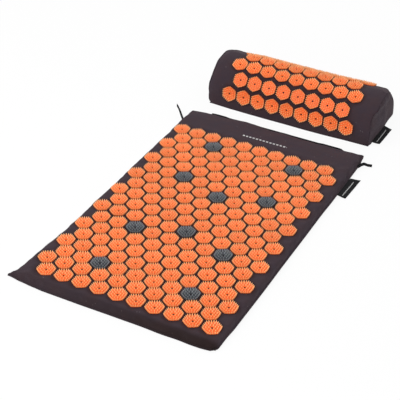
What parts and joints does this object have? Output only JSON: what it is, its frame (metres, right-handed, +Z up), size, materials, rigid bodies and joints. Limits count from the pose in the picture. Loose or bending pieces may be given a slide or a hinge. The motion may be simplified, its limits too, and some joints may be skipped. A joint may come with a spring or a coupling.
{
  "type": "acupressure mat with neck pillow",
  "caption": "Foam-filled acupressure mat and D-shaped neck pillow, covered with hexagonal spiked discs in staggered rows; both covers open with a zip.",
  "frame": {"origin": "centre of the mat's underside, on the floor", "axes": "+Y along the mat to its head end and the pillow, +Z up, +X to the side with the mat's flag label"},
  "size_m": [0.4618, 0.9056, 0.0969],
  "materials": {
    "cover_fabric": "matte",
    "orange_disc": "satin",
    "graphite_disc": "satin",
    "black_tape": "matte",
    "foam": "matte",
    "zip_metal": "satin"
  },
  "bodies": {
    "root": {"mat_bottom_cover": "cover_fabric", "mat_foam_core": "foam", "mat_graphite_disc_01": "graphite_disc", "mat_graphite_disc_02": "graphite_disc", "mat_graphite_disc_03": "graphite_disc", "mat_graphite_disc_04": "graphite_disc", "mat_graphite_disc_05": "graphite_disc", "mat_graphite_disc_06": "graphite_disc", "mat_graphite_disc_07": "graphite_disc", "mat_graphite_disc_08": "graphite_disc", "mat_graphite_disc_09": "graphite_disc", "mat_graphite_disc_10": "graphite_disc", "mat_left_loop": "black_tape", "mat_right_loop": "black_tape", "mat_side_label": "black_tape", "mat_top_cover": "cover_fabric", "mat_zip_closed_stop": "zip_metal", "mat_zip_lower_tape": "black_tape", "mat_zip_open_stop": "zip_metal", "mat_zip_upper_tape": "black_tape", "pillow_base_panel": "cover_fabric", "pillow_end_label": "black_tape", "pillow_foam_core": "foam", "pillow_left_end": "cover_fabric", "pillow_right_end": "cover_fabric", "pillow_wrap": "cover_fabric", "pillow_zip_closed_stop": "zip_metal", "pillow_zip_lower_tape": "black_tape", "pillow_zip_open_stop": "zip_metal", "pillow_zip_upper_tape": "black_tape"},
    "mat_slider": {"mat_zip_slider": "zip_metal"},
    "mat_pull": {"mat_zip_pull": "zip_metal"},
    "pillow_slider": {"pillow_zip_slider": "zip_metal"},
    "pillow_pull": {"pillow_zip_pull": "zip_metal"}
  },
  "joints": [
    {"name": "mat_zip_slide", "type": "slide", "parent": "root", "child": "mat_slider", "axis": [1, 0, 0], "range_m": [0, 0.269]},
    {"name": "mat_pull_hinge", "type": "hinge", "parent": "mat_slider", "child": "mat_pull", "pos_m": [-0.13967, 0.33615, 0.0085], "axis": [0, 0, 1], "range_deg": [0, 170]},
    {"name": "pillow_zip_slide", "type": "slide", "parent": "root", "child": "pillow_slider", "axis": [0.9997, -0.0244, 0], "range_m": [0, 0.328]},
    {"name": "pillow_pull_hinge", "type": "hinge", "parent": "pillow_slider", "child": "pillow_pull", "pos_m": [-0.1662, 0.56337, 0.0085], "axis": [0, 0, 1], "range_deg": [0, 170]}
  ]
}
